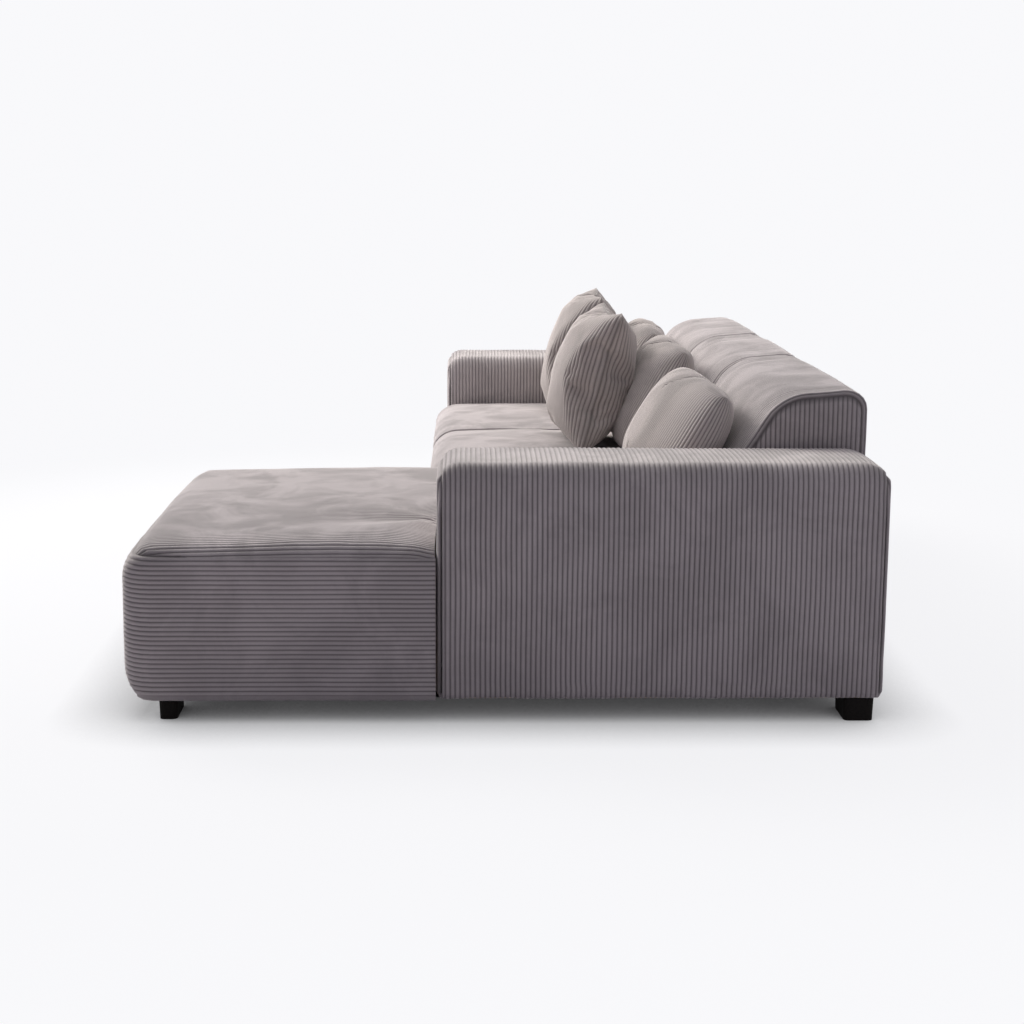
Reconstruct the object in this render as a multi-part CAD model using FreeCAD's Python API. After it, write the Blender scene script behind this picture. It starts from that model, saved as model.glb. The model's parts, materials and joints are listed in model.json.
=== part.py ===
import FreeCAD, Part
import math
import os

V = FreeCAD.Vector

# Sizes are in millimetres. X runs along the sofa with the chaise on its positive side,
# Y runs from the front to the rear, and Z is up from the floor.

# Outer sizes of the upholstered blocks
arm_width = 300
arm_length = 1068
arm_height = 630
seat_width = 708
chaise_width = 884
chaise_length = 1816
seat_height = 452
seat_overhang = 42
back_height = 776
back_top_depth = 216
back_seat_depth = 425
back_break_height = 440
back_top_slope = 0.11

# Roundings of the blocks
arm_edge = 34
arm_upright_edge = 26
arm_front_nose = 55
arm_rear_nose = 70
seat_edge = 26
seat_nose = 74
seat_tuck = 80
seat_front_bow = 8
chaise_corner = 80
back_edge = 34
back_rear_nose = 58
back_front_nose = 46
back_break_nose = 30
upright_edge = 24

# Crowns of the blocks, in the middle of each over its ends
arm_crown = 8
seat_crown = 14
seat_length_crown = 10
back_crown = 16

# Flat chords in each rounding, in degrees, on the faces that show and the hidden ones, and
# where a block is shaped: its end roundings as shares of their radius, its crown as shares
# of its width
shown_chord = 18
hidden_chord = 45
edge_shares = (0, 0.28, 1)
corner_shares = (0, 0.12, 0.42, 1)
hidden_edge_shares = (0, 1)
crown_shares = (0.15, 0.3)
hidden_crown_shares = (0.3,)

# Fabric, padding and the clearances between pieces
cover_wall = 3
fit = 0.3
seam_gap = 0.6
module_gap = 8
side_padding = 15
arm_end_padding = 25
arm_top_padding = 45
rear_padding = 40
chaise_side_padding = 25

# Timber frame
board = 25
panel = 15
rail_height = 160
post_width = 35
post_depth = 50
block_size = 60
back_rail_height = 700

# Feet, their bolts and the dust covers
foot_height = 58
foot_length = 122
front_foot_depth = 46
rear_foot_depth = 74
foot_setback = 18
foot_inset = 12
foot_corner = 14
foot_chords = 4
foot_taper = 2
rod_flats = 16
dust_cover_wall = 1
dust_cover_margin = 12
bolt_radius = 4
bolt_in_foot = 38
bolt_in_block = 40
bolt_edge = 12

# Serpentine seat springs and their clips
wire = 4
spring_half_width = 26
spring_bend = 12
spring_half_turns = 10
seat_springs = 3
clip_strip = 1.5
clip_length = 18
clip_depth = 16

# Webbing of the backs
strap_width = 50
strap_wall = 2
strap_count = 4

# Sectional connectors between the two modules
connector_width = 52
connector_height = 70
connector_wall = 1.5
connector_lip = 8
tongue_wall = 1.7
hook_plate_height = 40
connector_floor_gap = 50
connector_front_inset = 260
connector_rear_inset = 170

# Loose cushions: width, height, thickness, lean and turn in degrees, and how far the
# middle stands from its block's left end
cushion_wall = 2
cushion_rest_gap = 0.4
cushion_lean_gap = 4
settle_steps = 12
cushion_draw = 16
chaise_cushion = dict(width=755, height=330, thickness=195, lean=31, turn=1.5, along=480, fullness=2.7)
middle_cushion = dict(width=610, height=357, thickness=180, lean=29, turn=0, along=344, fullness=2.7)
left_cushion = dict(width=600, height=370, thickness=180, lean=29, turn=-1.5, along=352, fullness=2.7)
middle_pillow = dict(width=490, height=446, thickness=235, lean=15, turn=3, along=325, fullness=2.0)
left_pillow = dict(width=480, height=462, thickness=235, lean=15, turn=-2, along=280, fullness=2.0)
ring_levels = (0.25, 0.5, 0.75, 0.92, 1.0)
hidden_ring_levels = (0.5, 0.92)
ring_spots = (-0.9, -0.42, 0.42, 0.9)
cap_level = 0.97

# Places that follow from the sizes
overall_width = 2 * arm_width + 2 * seat_width + chaise_width
right = overall_width / 2
left = -right
rear = chaise_length / 2
chaise_front = -rear
arm_front = rear - arm_length
seat_front = arm_front - seat_overhang
left_arm_inner = left + arm_width
right_arm_inner = right - arm_width
split = right_arm_inner - chaise_width
sofa_right = split - module_gap / 2
chaise_left = split + module_gap / 2
middle_seam = left_arm_inner + seat_width
seat_rear = rear - back_seat_depth - seam_gap

base = foot_height + dust_cover_wall
rail_top = base + rail_height
clip_height = 2 * clip_strip + wire + 2 * fit
padding_floor = rail_top + clip_height + fit
front_rail_inset = seat_tuck + cover_wall + fit
frame_rear = rear - side_padding
post_rear = rear - rear_padding
post_front = post_rear - post_depth
spring_rail_rear = seat_rear + board / 2
side_wall = cover_wall + 2 * fit

made = {}


def box(x0, x1, y0, y1, z0, z1):
    return Part.makeBox(x1 - x0, y1 - y0, z1 - z0, V(x0, y0, z0))


def fall(distance, radius):
    """How far a rounded edge has fallen back at a distance from the side it rounds."""
    if distance >= radius:
        return 0
    return radius - math.sqrt(radius ** 2 - (radius - distance) ** 2)


def outline(corners, x, chord):
    """A closed outline across the sofa at x, from corners (y, z, radius).

    A rounded corner is a tangent arc, taken as chords that each turn by about chord degrees.
    """
    points = []
    count = len(corners)
    for index in range(count):
        y, z, radius = corners[index]
        here = V(x, y, z)
        if radius == 0:
            points.append(here)
            continue
        before = V(x, *corners[index - 1][:2]) - here
        after = V(x, *corners[(index + 1) % count][:2]) - here
        before.normalize()
        after.normalize()
        half = before.getAngle(after) / 2
        inward = before + after
        inward.normalize()
        centre = here + inward * (radius / math.sin(half))
        turn = math.pi - 2 * half
        chords = max(round(math.degrees(turn) / chord), 1)
        across = inward.cross(before).cross(inward)
        across.normalize()
        for step in range(chords + 1):
            angle = turn / 2 - turn * step / chords
            out = inward * (radius * math.cos(angle))
            points.append(centre - out + across * (radius * math.sin(angle)))
    return points


def loft(outlines):
    """A solid through outlines of straight lines whose matching sides are parallel."""
    faces = [Part.Face(Part.makePolygon(points + [points[0]])) for points in (outlines[0], outlines[-1])]
    for near, far in zip(outlines, outlines[1:]):
        for index in range(len(near)):
            corners = [near[index - 1], near[index], far[index], far[index - 1]]
            faces.append(Part.Face(Part.makePolygon(corners + [corners[0]])))
    return Part.Solid(Part.Shell(faces))


def smaller(radius, shrink):
    """A corner radius after its faces have moved inwards."""
    return max(radius - shrink, radius / 5)


def arm_corners(distance, swell, inset):
    upright = fall(distance, arm_upright_edge - inset)
    top_fall = fall(distance, arm_edge - inset)
    top = arm_height - arm_crown * (1 - swell) - top_fall - inset
    front = arm_front + upright + inset
    back = rear - upright - inset
    return [
        (front, base + inset, 0),
        (front, top, smaller(arm_front_nose, upright + inset)),
        (back, top, smaller(arm_rear_nose, upright + inset)),
        (back, base + inset, 0),
    ]


def seat_corners(distance, swell, inset, front, corner, back):
    """The side view of a seat: tucked under, bowed in front, with a rounded nose."""
    front_fall = fall(distance, corner - inset)
    crest = seat_height + seat_crown * (swell - 1) - fall(distance, seat_edge - inset) - inset
    face = front + front_fall + inset
    floor = base + inset
    bow_height = (base + seat_height) / 2
    bow_slope = seat_front_bow / (seat_height - bow_height)
    middle = (front + back) / 2
    top_slope = seat_length_crown / (middle - front)
    nose_height = crest - top_slope * (middle - face + bow_slope * bow_height)
    nose_height = nose_height / (1 - top_slope * bow_slope)
    nose_face = face + bow_slope * (nose_height - bow_height)
    back_face = back - inset
    return [
        (face + bow_slope * (bow_height - floor), floor, smaller(seat_tuck, front_fall + inset)),
        (face, bow_height, 0),
        (nose_face, nose_height, smaller(seat_nose, front_fall / 2 + inset)),
        (middle, crest, 0),
        (back_face, crest - top_slope * (back_face - middle), 0),
        (back_face, floor, 0),
    ]


def back_corners(distance, swell, inset):
    """The side view of a back: a wedge with an upright rear and a slanted front."""
    upright = fall(distance, upright_edge - inset)
    top = back_height - fall(distance, back_edge - inset) - inset
    back = rear - upright - inset
    slant = (back_seat_depth - back_top_depth) / (back_height - back_break_height)
    along = math.hypot(1, slant)
    edge_fall = fall(distance, back_edge - inset) + inset
    break_y = seat_rear + seam_gap + back_crown * (1 - swell) + edge_fall * along
    top_slope = back_top_slope
    nose_z = top - top_slope * (back - break_y + slant * back_break_height)
    nose_z = nose_z / (1 - top_slope * slant)
    nose_y = break_y + slant * (nose_z - back_break_height)
    shrink = upright + inset
    return [
        (back, base + inset, 0),
        (back, top, smaller(back_rear_nose, shrink)),
        (nose_y, nose_z, smaller(back_front_nose, shrink)),
        (break_y, back_break_height, smaller(back_break_nose, shrink)),
        (break_y, base + inset, 0),
    ]


def block(x0, x1, corners_at, radius, shares, inset):
    """A soft block: side views joined from one end to the other, rounded at both ends."""
    width = x1 - x0 - 2 * inset
    chord = hidden_chord if inset else shown_chord
    places = [(radius - inset) * share for share in (hidden_edge_shares if inset else shares)]
    places += [width * share for share in (hidden_crown_shares if inset else crown_shares)]
    places = places + [width / 2] + [width - place for place in reversed(places)]
    outlines = []
    for place in places:
        distance = min(place, width - place)
        swell = 1 - (2 * place / width - 1) ** 2
        outlines.append(outline(corners_at(distance, swell, inset), x0 + inset + place, chord))
    return loft(outlines)


def add(name, *shapes):
    solids = [solid for shape in shapes for solid in shape.Solids]
    made[name] = Part.makeCompound(solids) if len(solids) > 1 else solids[0]


def arm_form(x0, x1, inset):
    return block(x0, x1, arm_corners, arm_edge, edge_shares, inset)


def seat_form(x0, x1, inset):
    def corners(distance, swell, inset):
        return seat_corners(distance, swell, inset, seat_front, seat_edge, seat_rear)
    return block(x0, x1, corners, seat_edge, edge_shares, inset)


def chaise_form(inset):
    """The chaise runs the whole width in front of its arm and is notched for it."""
    def corners(distance, swell, inset):
        return seat_corners(distance, swell, inset, chaise_front, chaise_corner, seat_rear)
    whole = block(chaise_left, right, corners, chaise_corner, corner_shares, inset)
    notch = box(right_arm_inner - seam_gap - inset, right + board, arm_front - seam_gap - inset,
                rear, 0, back_height)
    return whole.cut(notch)


def back_form(x0, x1, inset):
    return block(x0, x1, back_corners, back_edge, edge_shares, inset)


def arm(side, x0, x1):
    """One arm: cover, padding and the panels of its box, bolted to the seat frame."""
    inner_x0 = x0 + side_padding
    inner_x1 = x1 - side_padding
    inner_y0 = arm_front + arm_end_padding
    inner_y1 = rear - arm_end_padding
    top = arm_height - arm_top_padding
    pocket = box(inner_x0 - fit, inner_x1 + fit, inner_y0 - fit, inner_y1 + fit, 0, top + fit)
    upholster(side + "_arm", lambda inset: arm_form(x0, x1, inset), pocket, pocket, "padding")
    side_panels = [
        box(inner_x0, inner_x0 + panel, inner_y0, inner_y1, base, top - panel),
        box(inner_x1 - panel, inner_x1, inner_y0, inner_y1, base, top - panel),
    ]
    end_panels = [
        box(inner_x0 + panel, inner_x1 - panel, inner_y0, inner_y0 + panel, base, top - panel),
        box(inner_x0 + panel, inner_x1 - panel, inner_y1 - panel, inner_y1, base, top - panel),
    ]
    add(side + "_arm_panels", *side_panels, *end_panels)
    add(side + "_arm_top_board", box(inner_x0, inner_x1, inner_y0, inner_y1, top - panel, top))


def foot(corner, ways, depth):
    """A block foot that reaches inwards from its outer corner, tapering to the floor."""
    x = corner[0] + ways[0] * foot_length / 2
    y = corner[1] + ways[1] * depth / 2
    outlines = []
    for z, inset in ((0, foot_taper), (foot_height, 0)):
        points = []
        for quarter, (way_x, way_y) in enumerate(((1, 1), (-1, 1), (-1, -1), (1, -1))):
            corner_x = x + way_x * (foot_length / 2 - foot_corner)
            corner_y = y + way_y * (depth / 2 - foot_corner)
            for step in range(foot_chords + 1):
                angle = math.radians(90 * (quarter + step / foot_chords))
                radius = foot_corner - inset
                point = V(radius * math.cos(angle), radius * math.sin(angle), z)
                points.append(V(corner_x, corner_y, 0) + point)
        outlines.append(points)
    return loft(outlines)


def rod(x, y, z, radius, length):
    """An upright rod of many flats, as a bolt or as the hole that takes it."""
    points = []
    for step in range(rod_flats):
        angle = 2 * math.pi * step / rod_flats
        points.append(V(x + radius * math.cos(angle), y + radius * math.sin(angle), z))
    return Part.Face(Part.makePolygon(points + [points[0]])).extrude(V(0, 0, length))


def foot_bolt(x, y):
    length = bolt_in_foot + dust_cover_wall + bolt_in_block
    return rod(x, y, foot_height - bolt_in_foot, bolt_radius, length)


def bolt_hole(x, y):
    return rod(x, y, foot_height - bolt_in_foot - fit, bolt_radius + fit,
               bolt_in_foot + dust_cover_wall + bolt_in_block + 2 * fit)


def corner_block(x, y):
    half = block_size / 2
    return box(x - half, x + half, y - half, y + half, base, base + block_size)


def front_support(side, way, front):
    """A support under a front corner of a frame: its block, bolt and foot."""
    x = side + way * (board + block_size / 2)
    return dict(block=(x, front + board + block_size / 2), bolt=(x, front + board + bolt_edge),
                corner=(side + way * foot_inset, front), ways=(way, 1), depth=front_foot_depth)


def rear_support(side, way):
    """A support in front of the back's posts: its block, bolt and foot."""
    x = side + way * (board + block_size / 2)
    y = post_front - block_size / 2 - strap_wall
    return dict(block=(x, y), bolt=(x, y), corner=(side + way * foot_inset, y + rear_foot_depth / 2),
                ways=(way, -1), depth=rear_foot_depth)


def arm_support(side, end, ways):
    """A support inside an outer corner of an arm: its block, bolt and foot."""
    half = block_size / 2
    place = (side + ways[0] * (side_padding + panel + half),
             end + ways[1] * (arm_end_padding + panel + half))
    corner = (side + ways[0] * foot_setback, end + ways[1] * foot_setback)
    return dict(block=place, bolt=place, corner=corner, ways=ways, depth=rear_foot_depth)


def supports(prefix, places):
    """The corner blocks, feet and bolts of one module; returns the holes of its bolts."""
    holes = Part.makeCompound([bolt_hole(*place["bolt"]) for place in places])
    add(prefix + "_corner_blocks", *[corner_block(*place["block"]).cut(holes) for place in places])
    add(prefix + "_feet", *[
        foot(place["corner"], place["ways"], place["depth"]).cut(holes) for place in places])
    add(prefix + "_bolts", *[foot_bolt(*place["bolt"]) for place in places])
    return holes


def ribbon(points, half_width, z, height):
    """A flat-sided wire of even width along a path, mitred at each of its points."""
    edges = []
    for side in (1, -1):
        shifted = []
        for index, (x, y) in enumerate(points):
            before = points[max(index - 1, 0)]
            after = points[min(index + 1, len(points) - 1)]
            ways = []
            for start, end in ((before, (x, y)), ((x, y), after)):
                length = math.hypot(end[0] - start[0], end[1] - start[1])
                if length:
                    ways.append(((end[0] - start[0]) / length, (end[1] - start[1]) / length))
            tx = sum(way[0] for way in ways)
            ty = sum(way[1] for way in ways)
            size = math.hypot(tx, ty)
            normal = (-ty / size, tx / size)
            stretch = half_width / (normal[0] * -ways[0][1] + normal[1] * ways[0][0])
            shifted.append(V(x + side * normal[0] * stretch, y + side * normal[1] * stretch, z))
        edges.append(shifted)
    loop = edges[0] + edges[1][::-1]
    return Part.Face(Part.makePolygon(loop + [loop[0]])).extrude(V(0, 0, height))


def serpentine(x, y0, y1):
    """One seat spring: a wire that winds from side to side between two clips."""
    tail = clip_depth
    pitch = (y1 - y0 - 2 * tail) / spring_half_turns
    bend = min(spring_bend, pitch / 3)
    points = [(x, y0), (x, y0 + tail)]
    for turn in range(spring_half_turns):
        way = 1 if turn % 2 else -1
        y = y0 + tail + turn * pitch
        points.append((x + way * (spring_half_width - bend), y))
        points.append((x + way * spring_half_width, y + bend))
        points.append((x + way * spring_half_width, y + pitch - bend))
        points.append((x + way * (spring_half_width - bend), y + pitch))
    points += [(x, y1 - tail), (x, y1)]
    return ribbon(points, wire / 2, rail_top + clip_strip + fit, wire)


def spring_clip(x, y, way):
    """A folded strip on a rail that holds one end of a spring, open towards way."""
    z0 = rail_top
    z1 = rail_top + clip_height
    tip = y + way * clip_depth
    corners = [(y, z0), (tip, z0), (tip, z0 + clip_strip), (y + way * clip_strip, z0 + clip_strip),
               (y + way * clip_strip, z1 - clip_strip), (tip, z1 - clip_strip), (tip, z1), (y, z1)]
    points = [V(x - clip_length / 2, cy, cz) for cy, cz in corners]
    return Part.Face(Part.makePolygon(points + [points[0]])).extrude(V(clip_length, 0, 0))


def spring_bay(x0, x1, count, y0, y1):
    """Springs side by side in one bay, from the clips on its front rail to its rear rail."""
    springs = []
    clips = []
    gap = (x1 - x0) / count
    for index in range(count):
        x = x0 + gap * (index + 0.5)
        springs.append(serpentine(x, y0 + clip_strip + fit, y1 - clip_strip - fit))
        clips.append(spring_clip(x, y0, 1))
        clips.append(spring_clip(x, y1, -1))
    return springs, clips


def back_frame(prefix, x0, x1, posts):
    """Posts, the board on top of them and the straps across them, for one module."""
    add(prefix + "_back_posts", *[
        box(x, x + post_width, post_front, post_rear, base, back_rail_height - board) for x in posts])
    add(prefix + "_back_top_board",
        box(x0, x1, post_front, post_rear, back_rail_height - board, back_rail_height))
    lowest = padding_floor + strap_width
    spread = back_rail_height - strap_width - lowest - strap_width
    straps = []
    for index in range(strap_count):
        z = lowest + spread * index / (strap_count - 1)
        straps.append(box(x0, x1, post_front - strap_wall, post_front, z, z + strap_width))
    add(prefix + "_back_webbing", *straps)


def back_pocket(x0, x1):
    return box(x0, x1, post_front - strap_wall - fit, post_rear + fit, 0, back_rail_height + fit)


def dust_cover(name, x0, x1, front, holes):
    """The thin sheet that closes the frame's underside, with holes for the bolts."""
    sheet = box(x0 + dust_cover_margin, x1 - dust_cover_margin, front, rear - dust_cover_margin,
                foot_height, base)
    add(name, sheet.cut(holes))


def socket(y):
    """A connector's socket on the seat module's side: a channel open at its top."""
    x = sofa_right
    depth = connector_wall + fit + tongue_wall + fit + connector_wall
    half = connector_width / 2
    inner = half - connector_wall
    corners = [(0, -half), (depth, -half), (depth, -half + connector_lip),
               (depth - connector_wall, -half + connector_lip), (depth - connector_wall, -inner),
               (connector_wall, -inner)]
    corners += [(cx, -cy) for cx, cy in reversed(corners)]
    points = [V(x + cx, y + cy, base + connector_floor_gap) for cx, cy in corners]
    return Part.Face(Part.makePolygon(points + [points[0]])).extrude(V(0, 0, connector_height))


def hook(y):
    """A connector's hook on the chaise's side: a tongue that drops into the socket."""
    x0 = sofa_right + connector_wall + fit
    x1 = chaise_left
    plate = x1 - 2 * connector_wall
    low = base + connector_floor_gap + fit
    shelf = base + connector_floor_gap + connector_height + fit
    top = shelf + hook_plate_height
    corners = [(x0, low), (x0 + tongue_wall, low), (x0 + tongue_wall, shelf), (x1, shelf), (x1, top),
               (plate, top), (plate, shelf + 2 * connector_wall), (x0, shelf + 2 * connector_wall)]
    half = connector_width / 2 - connector_wall - fit
    points = [V(cx, y - half, cz) for cx, cz in corners]
    return Part.Face(Part.makePolygon(points + [points[0]])).extrude(V(0, 2 * half, 0))


def connector_places():
    return [seat_front + connector_front_inset, rear - connector_rear_inset]


def ring(half_width, half_height, draw, y):
    """One outline of a cushion, its four sides drawn in between the corners."""
    points = []
    sides = ((1, 0, 0, -1), (0, 1, 1, 0), (-1, 0, 0, 1), (0, -1, -1, 0))
    for along_x, along_z, out_x, out_z in sides:
        length = half_width if along_x else half_height
        reach = half_height if along_x else half_width
        for spot in ring_spots:
            out = reach - draw * (1 - spot ** 2)
            step = spot * length
            points.append(V(along_x * step + out_x * out, y, along_z * step + out_z * out))
    return points


def cushion_form(size, inset):
    """A crowned cushion with its seam in the middle plane, upright at the origin."""
    fullness = size["fullness"]
    half_levels = hidden_ring_levels if inset else ring_levels
    levels = [-level for level in reversed(half_levels)] + [0] + list(half_levels)
    rings = []
    for level in levels:
        share = (1 - min(abs(level), cap_level) ** fullness) ** (1 / fullness)
        half_width = (size["width"] / 2 - inset) * share
        half_height = (size["height"] / 2 - inset) * share
        y = level * (size["thickness"] / 2 - inset)
        rings.append(ring(half_width, half_height, cushion_draw * share, y))
    return loft(rings)


def settle(shape, neighbour, way, rest_gap):
    """How far a shape slides one way before its neighbour stops it, a rest gap away."""
    moved = V(0, 0, 0)
    probe = shape.copy()
    for attempt in range(settle_steps):
        gap = probe.distToShape(neighbour)[0] - rest_gap
        if gap < rest_gap / 4:
            break
        probe.translate(way * gap)
        moved += way * gap
    return moved


def place_cushion(name, size, x, rests_on, leans_on):
    """Lean a cushion, let it down on its seat and slide it back to what it leans on."""
    forms = [cushion_form(size, inset) for inset in (0, cushion_wall, cushion_wall + fit)]
    start = V(x, leans_on.BoundBox.YMin - size["height"] / 2, seat_height + size["height"])
    for form in forms:
        form.rotate(V(0, 0, 0), V(1, 0, 0), -size["lean"])
        form.rotate(V(0, 0, 0), V(0, 0, 1), size["turn"])
        form.translate(start)
    down = V(0, 0, -1)
    moves = [(down, rests_on, cushion_lean_gap / 2), (V(0, 1, 0), leans_on, cushion_lean_gap),
             (down, rests_on, cushion_rest_gap)]
    for way, neighbour, rest_gap in moves:
        step = settle(forms[0], neighbour, way, rest_gap)
        for form in forms:
            form.translate(step)
    add(name + "_cover", forms[0].cut(forms[1]))
    add(name + "_fill", forms[2])
    return forms[0]


def upholster(name, form, cover_pocket, padding_pocket, padding_name="foam"):
    """Cover and padding of one block, both cut for the frame inside it."""
    add(name + "_cover", form(0).cut(form(cover_wall)).cut(cover_pocket))
    add(name + "_" + padding_name, form(cover_wall + fit).cut(padding_pocket))


def sofa_frame(x0, x1, front):
    """The rails of the two-seat module and the springs of its two seats."""
    inner_front = front + board
    add("sofa_front_rail", box(x0, x1, front, inner_front, base, rail_top))
    add("sofa_long_rails", *[
        box(x0 + board, x1 - board, y - board, y, base, rail_top) for y in (spring_rail_rear, frame_rear)])
    add("sofa_end_rails", *[
        box(x, x + board, inner_front, frame_rear, base, rail_top) for x in (x0, x1 - board)])
    add("sofa_centre_rail", box(middle_seam - board / 2, middle_seam + board / 2, inner_front,
                                spring_rail_rear - board, base, rail_top))
    springs = []
    clips = []
    bays = ((x0 + board, middle_seam - board / 2), (middle_seam + board / 2, x1 - board))
    for bay in bays:
        bay_springs, bay_clips = spring_bay(*bay, seat_springs, front + board / 4,
                                            spring_rail_rear - board / 4)
        springs += bay_springs
        clips += bay_clips
    add("sofa_seat_springs", *springs)
    add("sofa_spring_clips", *clips)
    back_frame("sofa", x0, x1, [x0 + board, middle_seam - post_width / 2, x1 - board - post_width])


def sofa_module():
    """The two-seat module; returns the outer forms of each seat and its back."""
    x0 = left_arm_inner + side_wall
    x1 = sofa_right - side_wall
    front = seat_front + front_rail_inset
    sofa_frame(x0, x1, front)

    under = box(x0 - fit, x1 + fit, front - fit, frame_rear + fit, 0, padding_floor)
    wide_under = box(x0 - board, x1 + board, front - fit, frame_rear + fit, 0, padding_floor)
    back_cut = under.fuse(back_pocket(x0 - fit, x1 + fit))
    wide_back_cut = wide_under.fuse(back_pocket(x0 - board, x1 + board))
    stretches = {
        "left": (left_arm_inner + seam_gap / 2, middle_seam - seam_gap / 2),
        "middle": (middle_seam + seam_gap / 2, sofa_right),
    }
    forms = {}
    for place, (start, end) in stretches.items():
        upholster(place + "_seat", lambda inset: seat_form(start, end, inset), under, wide_under)
        upholster(place + "_back", lambda inset: back_form(start, end, inset), back_cut, wide_back_cut)
        forms[place] = (seat_form(start, end, 0), back_form(start, end, 0))

    arm("left", left, left_arm_inner)
    holes = supports("sofa", [
        front_support(x1, -1, front), rear_support(x1, -1),
        arm_support(left, arm_front, (1, 1)), arm_support(left, rear, (1, -1))])
    dust_cover("sofa_dust_cover", left, sofa_right, front, holes)
    add("connector_sockets", *[socket(y) for y in connector_places()])
    return forms


def chaise_frame(x0, x1, ear, front, mid_rear):
    """The rails of the chaise, wider in front of its arm, and the springs of its two bays."""
    add("chaise_front_rail", box(x0, ear, front, front + board, base, rail_top))
    add("chaise_left_rail", box(x0, x0 + board, front + board, frame_rear, base, rail_top))
    add("chaise_ear_rail", box(ear - board, ear, front + board, mid_rear, base, rail_top))
    add("chaise_mid_rail", box(x0 + board, ear - board, mid_rear - board, mid_rear, base, rail_top))
    add("chaise_arm_rail", box(x1 - board, x1, mid_rear, frame_rear, base, rail_top))
    add("chaise_cross_rails", *[
        box(x0 + board, x1 - board, y - board, y, base, rail_top) for y in (spring_rail_rear, frame_rear)])
    quarter = board / 4
    springs, clips = spring_bay(x0 + board, x1 - board, seat_springs, mid_rear - quarter,
                                spring_rail_rear - quarter)
    front_springs, front_clips = spring_bay(x0 + board, ear - board, seat_springs + 1, front + quarter,
                                            mid_rear - 3 * quarter)
    add("chaise_seat_springs", *springs, *front_springs)
    add("chaise_spring_clips", *clips, *front_clips)
    back_frame("chaise", x0, x1, [x0 + board, x1 - board - post_width])


def chaise_module():
    """The chaise module; returns the outer forms of the chaise and its back."""
    x0 = chaise_left + side_wall
    x1 = right_arm_inner - side_wall
    ear = right - chaise_side_padding
    front = chaise_front + front_rail_inset
    mid_rear = arm_front - side_wall
    chaise_frame(x0, x1, ear, front, mid_rear)

    under = box(x0 - fit, x1 + fit, front - fit, frame_rear + fit, 0, padding_floor)
    under = under.fuse(box(x0 - fit, ear + fit, front - fit, mid_rear + fit, 0, padding_floor))
    wide_under = box(x0 - board, x1 + board, front - fit, frame_rear + fit, 0, padding_floor)
    wide_under = wide_under.fuse(
        box(x0 - board, ear + fit, front - fit, mid_rear + board, 0, padding_floor))
    start = chaise_left
    end = right_arm_inner - seam_gap
    upholster("chaise", chaise_form, under, wide_under)
    upholster("chaise_back", lambda inset: back_form(start, end, inset),
              under.fuse(back_pocket(x0 - fit, x1 + fit)),
              wide_under.fuse(back_pocket(x0 - board, x1 + board)))

    arm("right", right_arm_inner, right)
    holes = supports("chaise", [
        front_support(x0, 1, front), front_support(ear, -1, front), rear_support(x0, 1),
        arm_support(right, rear, (-1, -1))])
    dust_cover("chaise_dust_cover", chaise_left, right, front, holes)
    add("connector_hooks", *[hook(y) for y in connector_places()])
    return chaise_form(0), back_form(start, end, 0)


def cushions(sofa_forms, chaise_forms):
    """The five loose cushions: three along the backs and two pillows in front of them."""
    place_cushion("chaise_cushion", chaise_cushion, chaise_left + chaise_cushion["along"], *chaise_forms)
    starts = {"left": left_arm_inner, "middle": middle_seam}
    backs = {"left": left_cushion, "middle": middle_cushion}
    pillows = {"left": left_pillow, "middle": middle_pillow}
    for place, (seat, back) in sofa_forms.items():
        x = starts[place]
        behind = place_cushion(place + "_cushion", backs[place], x + backs[place]["along"], seat, back)
        place_cushion(place + "_pillow", pillows[place], x + pillows[place]["along"], seat, behind)


sofa_forms = sofa_module()
chaise_forms = chaise_module()
cushions(sofa_forms, chaise_forms)

os.makedirs("parts", exist_ok=True)
for name, shape in made.items():
    shape.exportStep("parts/" + name + ".step")
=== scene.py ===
import json
import math

import bpy
import numpy as np
from mathutils import Matrix, Vector
from mathutils.bvhtree import BVHTree


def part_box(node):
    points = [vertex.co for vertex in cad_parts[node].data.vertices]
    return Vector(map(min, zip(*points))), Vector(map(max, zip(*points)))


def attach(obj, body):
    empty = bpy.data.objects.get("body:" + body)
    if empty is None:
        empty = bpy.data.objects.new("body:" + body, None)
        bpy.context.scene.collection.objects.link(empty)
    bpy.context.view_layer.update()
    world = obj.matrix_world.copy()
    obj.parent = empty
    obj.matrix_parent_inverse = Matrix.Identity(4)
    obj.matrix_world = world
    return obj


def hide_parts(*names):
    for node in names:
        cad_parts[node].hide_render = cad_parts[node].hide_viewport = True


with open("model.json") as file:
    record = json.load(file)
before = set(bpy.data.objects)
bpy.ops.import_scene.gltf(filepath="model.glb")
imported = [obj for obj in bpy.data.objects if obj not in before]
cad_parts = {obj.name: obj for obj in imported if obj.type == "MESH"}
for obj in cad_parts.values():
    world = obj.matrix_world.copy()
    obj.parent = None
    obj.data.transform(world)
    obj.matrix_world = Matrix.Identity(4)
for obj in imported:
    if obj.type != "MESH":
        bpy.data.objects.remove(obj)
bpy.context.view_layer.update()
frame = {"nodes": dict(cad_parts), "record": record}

# Sizes are in metres. X runs along the sofa with the chaise on its positive side, Y runs from
# the front to the rear, and Z is up from the floor.

# Corduroy: the pitch and height of its ribs, how full they are, and how many points shape each
rib_pitch = 0.012
rib_height = 0.0024
rib_fullness = 2.6
rib_points = 5

# Steps between the points along a rib
hidden_step = 0.05
rear_step = 0.025
band_step = 0.020
upright_step = 0.018
front_step = 0.016
row_step = 0.015
shoulder_step = 0.014

# Seams, and the edge turned under the frame
seam_depth = 0.0024
seam_reach = 0.0032
rib_fade = 0.005
turned_under = 0.03
under_drop = 0.0025
foot_radius = 0.012

# Unevenness of the stuffing: height and reach of its slow waves and of its short ones
slow_waves = (0.0012, 0.16)
short_waves = (0.0005, 0.05)

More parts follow.
